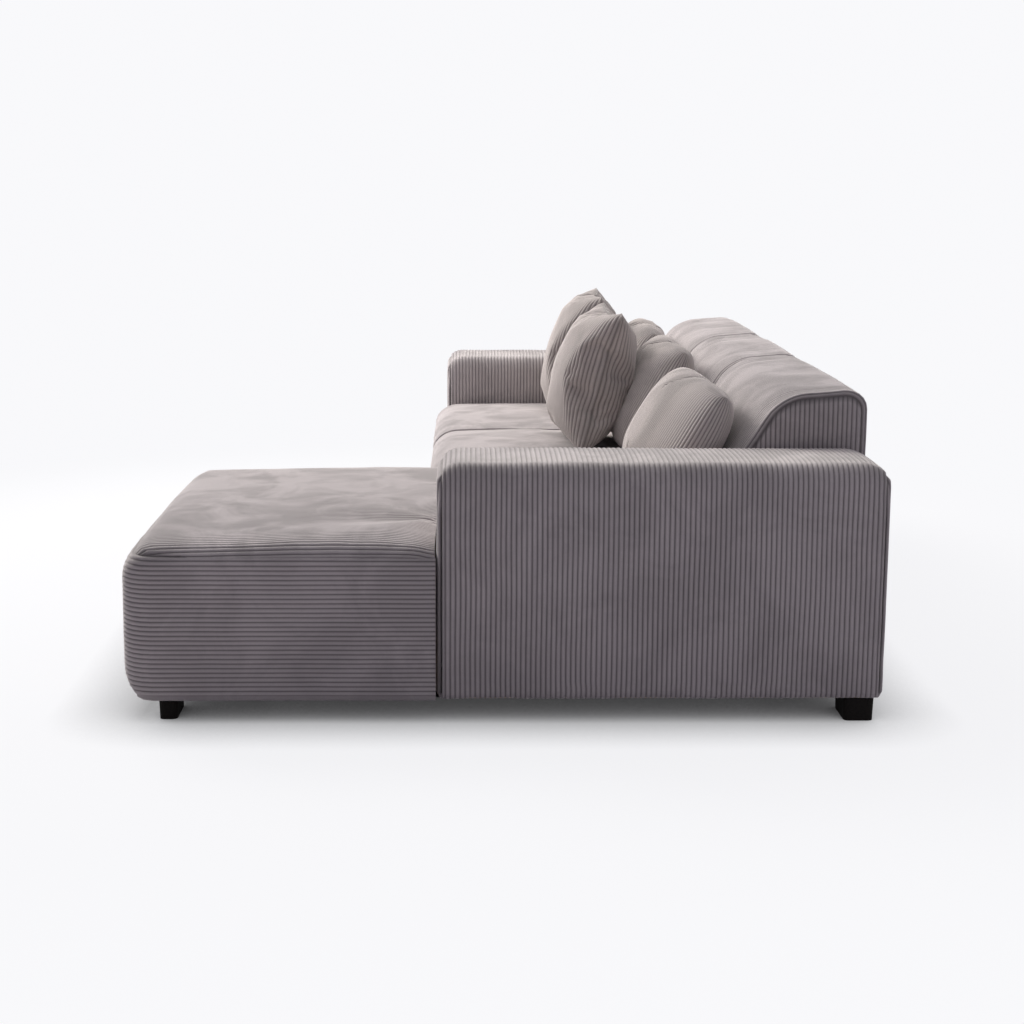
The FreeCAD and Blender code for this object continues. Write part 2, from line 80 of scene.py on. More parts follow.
# Crease along the rear of the seats and the chaise, and how far the fabric runs behind it
crease_depth = 0.010
crease_reach = 0.03
behind_crease = 0.012

# Arms
arm_side_radius = 0.032
arm_top_radius = 0.050
arm_end_radius = 0.022
arm_nose_radius = {"front": 0.055, "rear": 0.070}
arm_nose_span = (0.13, 0.03)
arm_bulge = 0.005
arm_crown = 0.006
arm_sunk = {"left": 0.016, "right": 0.003}
arm_seam = 0.010
arm_cap_seam = 0.0075
arm_cap_gap = 0.004
arm_cap_core = 0.12
arm_core = 0.07
arm_waver = 0.0022
arm_waver_reach = (0.4, 0.09, 0.16)
arm_fold = 0.0012

# Seats
seat_nose_radius = 0.074
seat_rear_radius = 0.8 * seat_nose_radius
seat_tuck_radius = 0.05
seat_side_radius = 0.028
seat_bow = 0.007
seat_bow_height = 0.30
seat_bow_reach = 0.16
seat_bow_limit = 0.012
seat_crown = 0.012
seat_fall = 0.010
seat_seam = 0.006
seat_core = 0.13
seat_foot = 0.07
seat_fold = 0.0030

# Chaise
chaise_corner = 0.080
chaise_depth = 0.9
chaise_edge = 0.042
chaise_nose = 0.080
chaise_side_foot = 0.006
chaise_front_foot = 0.075
chaise_bow = 0.006
chaise_bow_height = 0.24
chaise_bow_reach = 0.22
chaise_sunk = 0.004
chaise_fall = 0.016
chaise_fall_reach = 0.13
chaise_side_crown = 0.010
chaise_end_crown = 0.012
chaise_seam = 0.007
chaise_front_seam = 0.405
chaise_top_seam = 0.43
chaise_core = 0.15
chaise_band_core = 0.16
chaise_core_height = 0.30
chaise_band_height = 0.20
chaise_fold = 0.0045
chaise_under_drop = 0.012
chaise_under_steep = 0.07

# Backs
slant_foot = 0.440
slant = 0.622
back_top_slope = 0.085
back_side_radius = 0.034
back_round = 0.052
back_rear_radius = 0.060
back_upright_radius = 0.012
back_end_radius = 0.014
back_seam = 0.005
back_bulge = 0.012
back_bulge_height = 0.60
back_bulge_reach = 0.20
back_hollow = 0.016
back_core = 0.80
back_shoulder = 0.69
back_rear_core = 0.075
back_fold = 0.0062
back_wave = 0.0040

# Loose cushions: their sizes, how they lean and turn, how they are filled, and how far each has
# settled from its block
cushion_facts = {
    "middle_pillow": dict(width=0.490, height=0.446, thickness=0.235, lean=16, turn=3, fill=0.85,
                          moved=(0, 0.052, -0.002)),
    "left_pillow": dict(width=0.480, height=0.462, thickness=0.235, lean=16, turn=-2, fill=0.85,
                        moved=(0, 0.054, -0.020)),
    "chaise_cushion": dict(width=0.755, height=0.330, thickness=0.195, lean=31, turn=1.5, fill=0.75,
                           moved=(0, 0.014, 0.004)),
    "middle_cushion": dict(width=0.610, height=0.357, thickness=0.180, lean=29, turn=0, fill=0.7,
                           moved=(0, 0.012, 0.004)),
    "left_cushion": dict(width=0.600, height=0.370, thickness=0.180, lean=29, turn=-1.5, fill=0.7,
                         moved=(0, 0, 0)),
}
cushion_cell = 0.016
cushion_row = 0.009
cushion_edge_share = 0.7
cushion_slack = 0.02
cushion_cap = 0.026
cushion_corner = 0.52
cushion_fullness = 2.9
cushion_rib_height = 1.3 * rib_height
cushion_crease = 0.0030
cushion_wave = 0.0012
pillow_start = 0.35
pillow_corner = 0.03
pillow_seam = 0.004

# Filling of the loose cushions
filling_frames = 24
filling = dict(quality=6, mass=0.35, tension_stiffness=40, compression_stiffness=20, shear_stiffness=10,
               bending_stiffness=2.5, air_damping=3.0, use_pressure=True, uniform_pressure_force=4.0)

# Dents where a cushion meets its neighbours: the gap left, how deep a dent may be, how many
# points it spreads over, and how near the seam it ends
dent_gap = 0.001
dent_reach = 0.08
dent_spread = (10, 3)
dent_seam = 0.03

# Dust covers
dust_inset = 0.012
dust_lift = 0.0006
dust_sag = 0.006
dust_wave = 0.0012
dust_points = 60

# Sockets of a mix of two colours
first_colour = 6
second_colour = 7
mixed_colour = 2

# Camera, with its turns in radians
camera_place = (5.651, -0.091, 1.301)
camera_pitch = 0.1854
camera_yaw = 0.02555
camera_roll = 0.00617
camera_lens = 64.5
camera_sensor = 36

# Floor and backdrop
floor_half = 30
# Reach of the painted contact shadow in the floor's glow
floor_shade_reach = 0.22
floor_fade = (1.6, 3.2, 0.90, 1.0)
floor_bounce = (0.62, 0.60, 0.64)
backdrop_white = (0.945, 0.945, 0.965)
ambient_colour = (0.88, 0.86, 1.0)
ambient_strength = 0.20

# Place, target, size, power and colour of each lamp
lamps = {
    "key": ((-3.8, -3.6, 4.5), (0, 0, 0.4), (4.0, 3.0), 545, (1.0, 0.97, 0.93)),
    "overhead": ((-0.8, 0.4, 4.4), (0, 0, 0.3), (4.5, 3.5), 90, (1.0, 0.98, 0.96)),
    "fill": ((5.2, 2.0, 1.2), (0.8, 0, 0.3), (3.0, 1.6), 14, (0.95, 0.92, 1.0)),
}

# Blocks that the fabric pieces stand for
arm_box = {side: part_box(side + "_arm_cover") for side in ("left", "right")}
seat_box = {place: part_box(place + "_seat_cover") for place in ("left", "middle")}
back_box = {place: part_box(place + "_back_cover") for place in ("left", "middle", "chaise")}
chaise_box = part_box("chaise_cover")
base = arm_box["right"][0].z - under_drop
rear = arm_box["right"][1].y
arm_front = arm_box["right"][0].y
arm_top = arm_box["right"][1].z
arm_inner = arm_box["right"][0].x
seat_top = seat_box["left"][1].z
seat_front = seat_box["left"][0].y
seat_rear = seat_box["left"][1].y
seat_crest = (seat_front + seat_rear) / 2
back_top = back_box["left"][1].z


# Noise and form helpers

class Noise:
    """Smooth noise from a seeded lattice, the same each run."""

    size = 24

    def __init__(self, seed):
        self.lattice = np.random.RandomState(seed).uniform(-1, 1, (self.size,) * 3)

    def __call__(self, points, reach):
        spots = points / np.array(reach)
        low = np.floor(spots).astype(int)
        part = spots - low
        part = part * part * (3 - 2 * part)
        total = 0
        for corner in np.ndindex(2, 2, 2):
            weight = 1
            for axis in range(3):
                weight = weight * (part[..., axis] if corner[axis] else 1 - part[..., axis])
            at = [(low[..., axis] + corner[axis]) % self.size for axis in range(3)]
            total = total + weight * self.lattice[at[0], at[1], at[2]]
        return total


drift = Noise(3)
crumple = Noise(8)


def smooth(value, low, high):
    share = np.clip((value - low) / (high - low), 0, 1)
    return share * share * (3 - 2 * share)


def between(first, second, share):
    return first + (second - first) * share


def near_plane(distance, reach):
    return np.exp(-(distance / reach) ** 2)


def arch(value, low, high):
    """One in the middle of a span and zero at its ends."""
    return 1 - (2 * (value - low) / (high - low) - 1) ** 2


def unit(vectors):
    return vectors / np.maximum(np.linalg.norm(vectors, axis=-1, keepdims=True), 1e-12)


def rounded(*faces):
    """Below zero inside a form; faces are distances inwards with the radius at each."""
    return sum(np.maximum(1 - distance / radius, 0) ** 2 for distance, radius in faces) - 1


def cast(surface, origins, directions, reach=0.9):
    """Where rays from inside a soft form leave it."""
    near = np.zeros(origins.shape[:-1])
    far = np.full(origins.shape[:-1], reach)
    for halving in range(24):
        middle = (near + far) / 2
        outside = surface(origins + directions * middle[..., None]) > 0
        far = np.where(outside, middle, far)
        near = np.where(outside, near, middle)
    return origins + directions * far[..., None]


def cast_along(surface, origins, direction):
    return cast(surface, origins, np.tile(np.array(direction, float), (len(origins), 1)))


def outward(surface, points):
    probe = 0.002 * np.eye(3)
    return unit(np.stack([surface(points + step) - surface(points - step) for step in probe], -1))


def calm(points, normals):
    """Slow unevenness of stuffing under fabric."""
    return sum(height * drift(points, (reach,) * 3) for height, reach in (slow_waves, short_waves))


def unmoved(points, normals):
    return np.zeros(points.shape[:-1])


# Grids of points on a form

def lengths_along(points, axis):
    steps = np.linalg.norm(np.diff(points, axis=axis), axis=-1)
    start = np.zeros_like(np.take(steps, [0], axis=axis))
    return np.concatenate([start, np.cumsum(steps, axis=axis)], axis=axis)


def rib_shape(phase):
    """A rounded rib with a narrow groove on each side of it."""
    return 1 - np.abs(2 * (phase % 1) - 1) ** rib_fullness


def rib_lines(start, end, ribbed=True):
    """Places of the lines that shape the ribs between two ends, and their phases."""
    if not ribbed:
        count = max(round(abs(end - start) / hidden_step), 2)
        return np.linspace(start, end, count + 1), np.full(count + 1, 0.5)
    count = max(round(abs(end - start) / rib_pitch), 1) * rib_points
    return np.linspace(start, end, count + 1), np.arange(count + 1) / rib_points


def even_lines(surface, axis, start, end, origin, direction):
    """Rib lines spaced evenly over a form, as measured along one section across the ribs."""
    fine = np.linspace(start, end, 800)
    origins = np.tile(np.array(origin, float), (len(fine), 1))
    origins[:, axis] = fine
    run = lengths_along(cast_along(surface, origins, direction), 0)
    count = round(run[-1] / rib_pitch) * rib_points
    return np.interp(np.linspace(0, run[-1], count + 1), run, fine), np.arange(count + 1) / rib_points


def spread(start, end, step=row_step):
    count = max(round(abs(end - start) / step), 1)
    return np.linspace(start, end, count + 1)


def fan(centre, first, last, count):
    """Rays from one centre that turn from one angle to another, in degrees."""
    angles = np.radians(np.linspace(first, last, count))
    return [(centre, (math.cos(angle), math.sin(angle))) for angle in angles]


def planar(lines, rays, axis):
    """Origins and directions of rays that lie in planes across one axis."""
    others = [number for number in range(3) if number != axis]
    origins = np.zeros((len(lines), len(rays), 3))
    directions = np.zeros_like(origins)
    for column, (origin, direction) in enumerate(rays):
        for place, other in enumerate(others):
            origins[:, column, other] = origin[place]
            directions[:, column, other] = direction[place]
    origins[:, :, axis] = lines[:, None]
    return origins, directions


def seam_distance(points, seams):
    """How far each point is from the panel's sewn edges."""
    distance = np.full(points.shape[:-1], 1.0)
    for axis, ends in enumerate(seams):
        run = lengths_along(points, axis)
        total = np.take(run, [-1], axis=axis)
        if ends[0]:
            distance = np.minimum(distance, run)
        if ends[1]:
            distance = np.minimum(distance, total - run)
    return distance


def panel(surface, origins, directions, phases, relief, seams=((True, True), (False, False))):
    """A ribbed piece of fabric on a form; phases run along the first grid axis."""
    points = cast(surface, origins, directions)
    normals = outward(surface, points)
    edge = seam_distance(points, seams)
    # The pile also drives the colour: where it falls to zero by a seam, the seam takes the full painted
    # groove shade.
    pile = rib_shape(phases)[:, None] * (1 - near_plane(edge, rib_fade))
    height = rib_height * (pile - 0.5) + relief(points, normals)
    height = height - seam_depth * near_plane(edge, seam_reach)
    return points + normals * height[..., None], pile, normals


def cap_panel(surface, lines, phases, axis, plane, inside, low, start_height, relief, rows=40):
    """The end of a block: upright lines under the curve of its outline at one plane."""
    other = 1 - axis
    tops = np.zeros((len(lines), 3))
    tops[:, other] = lines
    tops[:, axis] = plane
    tops[:, 2] = start_height
    tops = cast_along(surface, tops, (0, 0, 1))[:, 2]
    shares = np.linspace(0, 1, rows)
    origins = np.zeros((len(lines), rows, 3))
    origins[:, :, other] = lines[:, None]
    origins[:, :, axis] = inside
    origins[:, :, 2] = low + (tops[:, None] - low) * shares[None, :]
    directions = np.zeros_like(origins)
    directions[:, :, axis] = np.sign(plane - inside)
    return panel(surface, origins, directions, phases, relief, ((True, True), (False, True)))


def mesh_piece(name, grids, keep=None):
    """One mesh from several grids of points, faces turned outwards."""
    vertices = []
    faces = []
    piles = []
    offset = 0
    for index, (points, pile, normals) in enumerate(grids):
        rows, columns = points.shape[:2]
        at = offset + np.arange(rows * columns).reshape(rows, columns)
        quads = np.stack([at[:-1, :-1], at[1:, :-1], at[1:, 1:], at[:-1, 1:]], -1)
        across = np.cross(points[1:, :-1] - points[:-1, :-1], points[:-1, 1:] - points[:-1, :-1])
        if np.sum(across * normals[:-1, :-1]) < 0:
            quads = quads[..., ::-1]
        if keep is not None and keep[index] is not None:
            quads = quads[keep[index]]
        vertices.append(points.reshape(-1, 3))
        faces.append(quads.reshape(-1, 4))
        piles.append(np.broadcast_to(pile, points.shape[:2]).reshape(-1))
        offset += rows * columns
    mesh = bpy.data.meshes.new(name)
    mesh.from_pydata(np.concatenate(vertices).tolist(), [], np.concatenate(faces).tolist())
    attribute = mesh.attributes.new("pile", "FLOAT", "POINT")
    attribute.data.foreach_set("value", np.concatenate(piles).astype(np.float32))
    mesh.polygons.foreach_set("use_smooth", [True] * len(mesh.polygons))
    mesh.validate()
    return placed(name, mesh)


def placed(name, data):
    made = bpy.data.objects.new(name, data)
    bpy.context.scene.collection.objects.link(made)
    return made


def facing_down(points):
    normals = np.zeros_like(points)
    normals[..., 2] = -1
    return normals


# Arms

def arm_surface(side):
    low, high = arm_box[side]
    top = arm_top - arm_sunk[side]
    middle = (low.x + high.x) / 2
    half = (high.x - low.x) / 2
    outside = 1 if side == "right" else -1

    def surface(points):
        x, y, z = np.moveaxis(points, -1, 0)
        across = (x - middle) * outside
        along = np.maximum(arch(y, low.y, high.y), 0)
        height = np.maximum(arch(z, base, top), 0)
        bulge = arm_bulge * along * height * smooth(across, 0, half)
        crown = arm_crown * np.maximum(1 - (across / half) ** 2, -0.4)
        nose = smooth(z, top - arm_nose_span[0], top - arm_nose_span[1])
        return rounded(
            (half + bulge - np.abs(across), arm_side_radius),
            (top - arm_crown + crown - z, arm_top_radius),
            (y - low.y, between(arm_end_radius, arm_nose_radius["front"], nose)),
            (rear - y, between(arm_end_radius, arm_nose_radius["rear"], nose)),
            (z - base, foot_radius))
    return surface


def arm_relief(points, normals):
    """Stuffing, and fabric that is slack where it turns under."""
    low_down = near_plane(points[..., 2] - base, 0.05)
    folds = crumple(points, (0.5, 0.035, 0.12))
    return calm(points, normals) + arm_fold * low_down * folds


def arm_rays(middle, half, top_centre, foot):
    """Rays round an arm, from one turned-under edge over the top to the other."""
    corner = half - arm_core
    right_foot = (middle + half - turned_under, foot)
    left_foot = (middle - half + turned_under, foot)
    rays = [(right_foot, (0, -1))]
    rays += fan(right_foot, -90, 0, 5)[1:]
    rays += [((middle, z), (1, 0)) for z in spread(foot, top_centre, upright_step)[1:-1]]
    rays += fan((middle + corner, top_centre), 0, 90, 9)
    rays += [((middle + x, top_centre), (0, 1)) for x in spread(corner, -corner)[1:-1]]
    rays += fan((middle - corner, top_centre), 90, 180, 9)
    rays += [((middle, z), (-1, 0)) for z in spread(top_centre, foot, upright_step)[1:-1]]
    rays += fan(left_foot, 180, 270, 5)[:-1]
    return rays + [(left_foot, (0, -1))]


def arm_piece(side):
    surface = arm_surface(side)
    low, high = arm_box[side]
    middle = (low.x + high.x) / 2
    top_centre = arm_top - arm_core
    foot = base + turned_under
    front_plane = low.y + arm_seam
    rear_plane = high.y - arm_seam
    lines, phases = even_lines(surface, 1, front_plane, rear_plane, (middle, 0, foot + 0.2), (1, 0, 0))
    origins, directions = planar(lines, arm_rays(middle, (high.x - low.x) / 2, top_centre, foot), 1)
    waver = arm_waver * drift(origins, arm_waver_reach) * smooth(arm_top - origins[..., 2], 0.05, 0.3)
    ends = np.minimum(lines - lines[0], lines[-1] - lines)[:, None]
    origins[..., 1] += waver * smooth(ends, 0, 0.06)
    grids = [panel(surface, origins, directions, phases, arm_relief)]
    for plane, inside in ((front_plane, low.y + arm_cap_core), (rear_plane, high.y - arm_cap_core)):
        lines, phases = rib_lines(low.x + arm_cap_seam, high.x - arm_cap_seam)
        grids.append(cap_panel(surface, lines, phases, 1, plane, inside, base + arm_cap_gap,
                               top_centre - 0.05, arm_relief))
    return mesh_piece(side + "_arm_fabric", grids)


# Seats

def seat_top_height(x, y, low, high):
    """Height of a seat's top: crowned across and along, sunk along its rear crease."""
    along = ((y - seat_crest) / (seat_rear - seat_crest)) ** 2
    crown = seat_crown * (1 - np.maximum(arch(x, low, high), -0.3))
    fall = seat_fall * np.minimum(along, 1.6)
    return seat_top - crown - fall - crease_depth * near_plane(y - seat_rear, crease_reach)


def seat_surface(low, high):
    def surface(points):
        x, y, z = np.moveaxis(points, -1, 0)
        bow = seat_bow * (1 - ((z - seat_bow_height) / seat_bow_reach) ** 2)
        return rounded(
            (x - low, seat_side_radius),
            (high - x, seat_side_radius),
            (seat_top_height(x, y, low, high) - z, seat_rear_radius),
            (y - seat_front - seat_bow + np.maximum(bow, -seat_bow_limit), seat_nose_radius),
            (z - base, seat_tuck_radius))
    return surface


def seat_relief(low, high):
    """Soft folds near the creases at a seat's sides and rear."""
    def relief(points, normals):
        x, y = points[..., 0], points[..., 1]
        side = np.minimum(x - low, high - x)
        folds = crumple(points, (0.07, 0.11, 0.4)) * near_plane(side, 0.10)
        behind = crumple(points, (0.09, 0.06, 0.4)) * near_plane(y - seat_rear, 0.12)
        return calm(points, normals) * 1.6 + seat_fold * folds + seat_fold * behind
    return relief


def seat_piece(place):
    low, high = seat_box[place][0].x, seat_box[place][1].x
    surface = seat_surface(low, high)
    relief = seat_relief(low, high)
    top_centre = seat_top - seat_core
    foot = base + seat_foot
    inner = seat_front + seat_core
    rays = [((y, top_centre), (0, 1)) for y in spread(seat_rear + behind_crease, inner)]
    rays += fan((inner, top_centre), 90, 180, 12)[1:]
    rays += [((inner, z), (-1, 0)) for z in spread(top_centre, foot, upright_step)[1:]]
    rays += fan((inner, foot), 180, 270, 8)[1:]
    planes = (low + seat_seam, high - seat_seam)
    lines, phases = even_lines(surface, 0, *planes, (0, seat_crest, 0.3), (0, 0, 1))
    origins, directions = planar(lines, rays, 0)
    grids = [panel(surface, origins, directions, phases, relief)]
    for plane, inside in zip(planes, (low + 0.1, high - 0.1)):
        lines, phases = rib_lines(seat_front + 0.012, seat_rear + behind_crease, ribbed=False)
        grids.append(cap_panel(surface, lines, phases, 0, plane, inside, base + 0.06, top_centre - 0.1,
                               relief, rows=10))
    return mesh_piece(place + "_seat_fabric", grids)


# Chaise

def chaise_plan(x, y):
    """Distance inwards from the chaise's outline seen from above, and how far it faces front."""
    low, high = chaise_box
    middle = (low.x + high.x) / 2
    half = (high.x - low.x) / 2
    side = np.abs(x - middle) - half + chaise_corner
    front = np.abs(y - low.y - chaise_depth) - chaise_depth + chaise_corner
    front = np.where(y > low.y + chaise_depth, -1.0, front)
    outer = np.hypot(np.maximum(side, 0), np.maximum(front, 0))
    inner = np.minimum(np.maximum(side, front), 0)
    angle = np.arctan2(np.maximum(front, 0), np.maximum(side, 1e-9))
    facing = np.where((side > 0) & (front > 0), angle / (math.pi / 2), front > side)
    return chaise_corner - outer - inner, smooth(facing, 0, 1)


def chaise_top_height(x, y):
    """Height of the chaise's top: crowned, falling to its sides, and sunk along its creases."""
    low, high = chaise_box
    crest = (low.y + seat_rear) / 2
    along = ((y - crest) / (seat_rear - crest)) ** 2
    behind_front = smooth(y, arm_front - 0.03, arm_front + 0.02)
    beside_arm = smooth(x, arm_inner - 0.03, arm_inner + 0.02)
    sunk = crease_depth * near_plane(y - seat_rear, crease_reach)
    sunk = sunk + 0.012 * near_plane(x - arm_inner, 0.035) * behind_front
    sunk = sunk + 0.010 * near_plane(y - arm_front, 0.035) * beside_arm
    sunk = sunk + 0.006 * near_plane(x - arm_inner, 0.12) * smooth(y, arm_front - 0.25, arm_front)
    crown = chaise_side_crown * (1 - np.maximum(arch(x, low.x, high.x), -0.3))
    crown = crown + chaise_end_crown * np.minimum(along, 1.3)
    edge = np.minimum(x - low.x, high.x - x)
    fall = chaise_fall * np.clip(1 - edge / chaise_fall_reach, 0, 1.2) ** 2
    return seat_top - chaise_sunk - crown - fall - sunk


def chaise_surface(points):
    """The side rounds into the top with one radius and into the underside with another."""
    x, y, z = np.moveaxis(points, -1, 0)
    inwards, facing = chaise_plan(x, y)
    rise = np.maximum(z - chaise_bow_height, 0) / chaise_bow_reach
    side = inwards - chaise_bow + chaise_bow * np.maximum(1 - rise ** 2, -1)
    top_radius = between(chaise_edge, chaise_nose, facing)
    under_radius = between(chaise_side_foot, chaise_front_foot, facing)
    upper = rounded((side, top_radius), (chaise_top_height(x, y) - z, top_radius))
    lower = rounded((side, under_radius), (z - base, under_radius))
    return np.maximum(upper, lower)


def chaise_relief(points, normals):
    """Soft folds that run out from where the arm stands on the chaise."""
    x, y = points[..., 0], points[..., 1]
    away = np.hypot(x - arm_inner, y - arm_front)
    angle = np.arctan2(arm_front - y, arm_inner - x + 1e-6)
    rays = np.cos(angle * 5.0 + 0.8) * near_plane(away - 0.17, 0.16)
    flat = np.maximum(normals[..., 2], 0)
    folds = crumple(points, (0.10, 0.16, 0.5)) * near_plane(away, 0.55)
    return calm(points, normals) * 1.6 + flat * (chaise_fold * rays + chaise_fold * folds)


def chaise_top_panel():
    """The top, over the front edge to its seam, and which of its faces are kept beside the arm."""
    low, high = chaise_box
    inner = low.y + chaise_core
    split_y = arm_front - 0.004
    split_x = arm_inner - 0.004
    rear_rows = spread(seat_rear + behind_crease, split_y, upright_step)[:-1]
    front_rows = spread(split_y, inner, front_step)
    rays = [((y, chaise_core_height), (0, 1)) for y in (*rear_rows, *front_rows)]
    rays += fan((inner, chaise_front_seam), 90, 180, 14)[1:]
    section = ((0, low.y + 0.5, chaise_core_height), (0, 0, 1))
    main_lines, main_phases = even_lines(chaise_surface, 0, low.x + chaise_seam, split_x, *section)
    ear_lines, ear_phases = even_lines(chaise_surface, 0, split_x, high.x - chaise_seam, *section)
    lines = np.concatenate([main_lines, ear_lines[1:]])
    phases = np.concatenate([main_phases, ear_phases[1:] + main_phases[-1]])
    origins, directions = planar(lines, rays, 0)
    keep = np.ones((len(lines) - 1, len(rays) - 1), bool)
    keep[len(main_lines) - 1:, :len(rear_rows)] = False
    top = panel(chaise_surface, origins, directions, phases, chaise_relief, ((True, True), (False, True)))
    return top, keep


def chaise_band():
    """The band round the sides and the front, under the seam of the top, and its outline."""
    low, high = chaise_box
    middle = (low.x + high.x) / 2
    front = low.y + chaise_band_core
    left, right = low.x + chaise_band_core, high.x - chaise_band_core
    rays = [((middle, y), (1, 0)) for y in spread(arm_front - 0.002, front, band_step)]
    rays += fan((right, front), 0, -90, 14)[1:]
    rays += [((x, front), (0, -1)) for x in spread(right, left, band_step)[1:-1]]
    rays += fan((left, front), -90, -180, 14)
    rays += [((middle, y), (-1, 0)) for y in spread(front, seat_rear, band_step)[1:]]
    heights, phases = rib_lines(base + chaise_under_drop, chaise_top_seam)
    shares = (heights - heights[0]) / (heights[-1] - heights[0])
    origins, directions = planar(np.full(len(shares), chaise_band_height), rays, 2)
    edge = cast(chaise_surface, origins[:1], directions[:1])[0]
    edge_x = np.clip(edge[:, 0], low.x + chaise_seam, high.x - chaise_seam)
    upward = np.stack([edge_x, edge[:, 1], np.full(len(edge_x), chaise_band_height)], -1)
    risen = cast_along(chaise_surface, upward, (0, 0, 1))[:, 2]
    beside = np.abs(edge[:, 0] - edge_x) > 0.001
    tops = np.where(beside, np.maximum(risen, chaise_front_seam), chaise_front_seam)
    origins[..., 2] = heights[0] + shares[:, None] * (tops[None, :] - heights[0])
    band = panel(chaise_surface, origins, directions, phases, chaise_relief, ((False, True), (False, False)))
    return band, edge


def chaise_underside(lowest, edge):
    """The fabric turned under the frame: round at the front, with a tight corner at the sides."""
    low, high = chaise_box
    centre = np.array([(low.x + high.x) / 2, low.y + 0.45])
    front_facing = chaise_plan(edge[:, 0], edge[:, 1])[1]
    shares = (0, 0.01, 0.03, chaise_under_steep, 0.35, 0.7, 1)
    points = np.repeat(lowest[None], len(shares), axis=0)
    for row, share in enumerate(shares):
        way = centre - points[row, :, :2]
        way[:, 1] = np.where(points[row, :, 1] > low.y + 0.3, 0, way[:, 1])
        points[row, :, :2] += unit(way) * (turned_under * share)
        steep = 1 - (1 - min(share / chaise_under_steep, 1)) ** 2
        gentle = math.sin(share * math.pi / 2)
        points[row, :, 2] -= chaise_under_drop * between(steep, gentle, front_facing)
    # A pile value of 0.6 gives the turned-under fabric part of the painted groove shade.
    return points, np.full(points.shape[:2], 0.6), facing_down(points)


def chaise_piece():
    top, keep = chaise_top_panel()
    band, edge = chaise_band()
    underside = chaise_underside(band[0][0], edge)
    return mesh_piece("chaise_fabric", [top, band, underside], keep=[keep, None, None])


# Backs

def back_surface(place):
    low, high = back_box[place]
    left_radius = back_end_radius if place == "left" else back_side_radius
    right_radius = back_end_radius if place == "chaise" else back_side_radius

    def surface(points):
        x, y, z = np.moveaxis(points, -1, 0)
        across = np.maximum(arch(x, low.x, high.x), 0)
        up = np.maximum(1 - ((z - back_bulge_height) / back_bulge_reach) ** 2, 0)
        face = seat_rear + back_hollow * (1 - across) - back_bulge * up * across
        front = (y - face - slant * (z - slant_foot)) / math.hypot(1, slant)
        top = back_top - 0.003 + back_top_slope * (y - (rear - 0.07)) - 0.004 * (1 - across)
        top = np.minimum(top, back_top + 0.001)
        upper = smooth(z, 0.36, 0.50)
        behind = smooth(y, rear - 0.14, rear - 0.06) * (1 - upper)
        return rounded(
            (x - low.x, between(left_radius, back_upright_radius, behind)),
            (high.x - x, between(right_radius, back_upright_radius, behind)),
            (front, back_round),
            (top - z, back_round),
            (rear - 0.002 * (1 - across) - y, between(back_upright_radius, back_rear_radius, upper)),
            (z - base, foot_radius))
    return surface


def back_relief(place):
    """Folds that run up the slope beside the creases, and a few long soft ones."""
    low, high = back_box[place]

    def relief(points, normals):
        x, y, z = np.moveaxis(points, -1, 0)
        side = np.minimum(x - low.x, high.x - x)
        level = np.stack([x + 0.25 * (z - 0.6), y * 0, z + 0.6 * y], -1)
        folds = crumple(level, (0.030, 1, 0.30)) * near_plane(side, 0.11)
        wide = crumple(level + 5.3, (0.11, 1, 0.35))
        shown = smooth(0.90 - y, 0.0, 0.08) * smooth(z, 0.42, 0.5)
        return calm(points, normals) * 1.5 + shown * (back_fold * folds + back_wave * wide)
    return relief


def back_piece(place):
    low, high = back_box[place]
    surface = back_surface(place)
    relief = back_relief(place)
    foot = base + turned_under
    rear_core = rear - back_rear_core
    rays = [((back_core, z), (-1, 0)) for z in spread(0.40, back_shoulder)]
    rays += fan((back_core, back_shoulder), 180, 90, 13)[1:]
    rays += [((y, back_shoulder), (0, 1)) for y in spread(back_core, rear_core, shoulder_step)[1:]]
    rays += fan((rear_core, back_shoulder), 90, 0, 10)[1:]
    rays += [((back_core, z), (1, 0)) for z in spread(back_shoulder, foot, rear_step)[1:]]
    rays += fan((rear - turned_under, foot), 0, -90, 5)[1:]
    planes = (low.x + back_seam, high.x - back_seam)
    lines, phases = even_lines(surface, 0, *planes, (0, back_core, 0.6), (0, -1, 0))
    origins, directions = planar(lines, rays, 0)
    grids = [panel(surface, origins, directions, phases, relief)]
    for plane, inside, end in zip(planes, (low.x + 0.1, high.x - 0.1), ("left", "chaise")):
        shown = place == end
        lines, phases = rib_lines(seat_rear + 0.03, rear - back_seam, ribbed=shown)
        grids.append(cap_panel(surface, lines, phases, 0, plane, inside, base + 0.05, 0.40,
                               relief if shown else unmoved))
    return mesh_piece(place + "_back_fabric", grids)


# Loose cushions

def even_arc(count, across, through):
    """Points spaced evenly along half a full oval, as shares of its half sizes."""
    angles = np.linspace(-math.pi / 2, math.pi / 2, 2001)
    x = np.sign(angles) * np.abs(np.sin(angles)) ** (2 / cushion_fullness)
    y = np.abs(np.cos(angles)) ** (2 / cushion_fullness)
    run = np.concatenate([[0], np.cumsum(np.hypot(np.diff(x) * across, np.diff(y) * through))])
    places = np.linspace(0, run[-1], count)
    return np.interp(places, run, x), np.interp(places, run, y)


def plump_form(width, height, thickness):
    """Both sides of a full cushion with round ends, as one grid of points each."""
    columns = round((width + thickness * cushion_edge_share) / cushion_cell) + 1
    rows = round((height + thickness * cushion_edge_share) / cushion_cell) + 1
    x, x_depth = even_arc(columns, width / 2, thickness / 2)
    z, z_depth = even_arc(rows, height / 2, thickness / 2)
    grid_x, grid_z = np.meshgrid(x, z, indexing="ij")
    depth = np.outer(x_depth, z_depth)
    shown_x = grid_x * np.sqrt(1 - cushion_corner * grid_z ** 2 / 2) * width / 2
    shown_z = grid_z * np.sqrt(1 - cushion_corner * grid_x ** 2 / 2) * height / 2
    return np.stack([np.stack([shown_x, way * depth * thickness / 2, shown_z], -1) for way in (-1, 1)])


